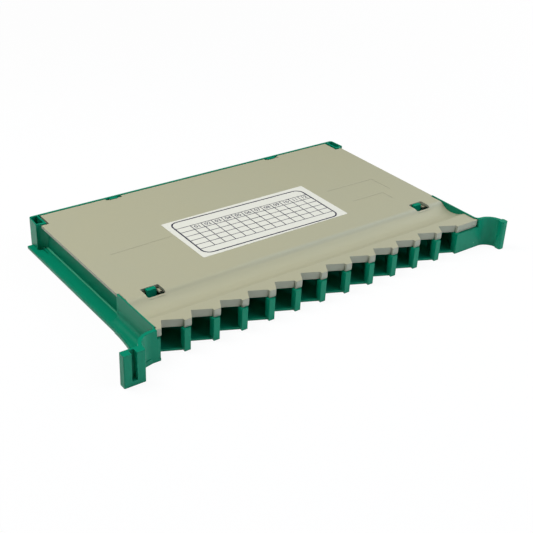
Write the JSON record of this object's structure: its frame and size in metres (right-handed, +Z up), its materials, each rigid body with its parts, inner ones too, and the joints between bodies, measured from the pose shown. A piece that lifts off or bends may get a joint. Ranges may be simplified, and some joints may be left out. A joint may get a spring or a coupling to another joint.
{
  "type": "optical distribution frame tray",
  "caption": "Flat green moulded splice tray with slanted adapter ports, guide flanges, ears and a beige tip-up cover.",
  "frame": {"origin": "bottom centre of the whole tray, ears included", "axes": "+X to the right along the row of ports, +Y from the ports to the rear wall, +Z up"},
  "size_m": [0.4004, 0.236, 0.028],
  "materials": {
    "green_plastic": "fine satin moulded",
    "beige_plastic": "fine satin moulded",
    "label_paper": "printed matt film",
    "black_plastic": "satin moulded"
  },
  "bodies": {
    "tray": {"tray_base": "green_plastic", "splice_comb": "black_plastic"},
    "cover": {"tray_cover": "beige_plastic", "cover_label": "label_paper"}
  },
  "joints": [
    {"name": "cover_hinge", "type": "hinge", "parent": "tray", "child": "cover", "pos_m": [0.00825, 0.1134, 0.0263], "axis": [-1, 0, 0], "range_deg": [0, 55]}
  ]
}
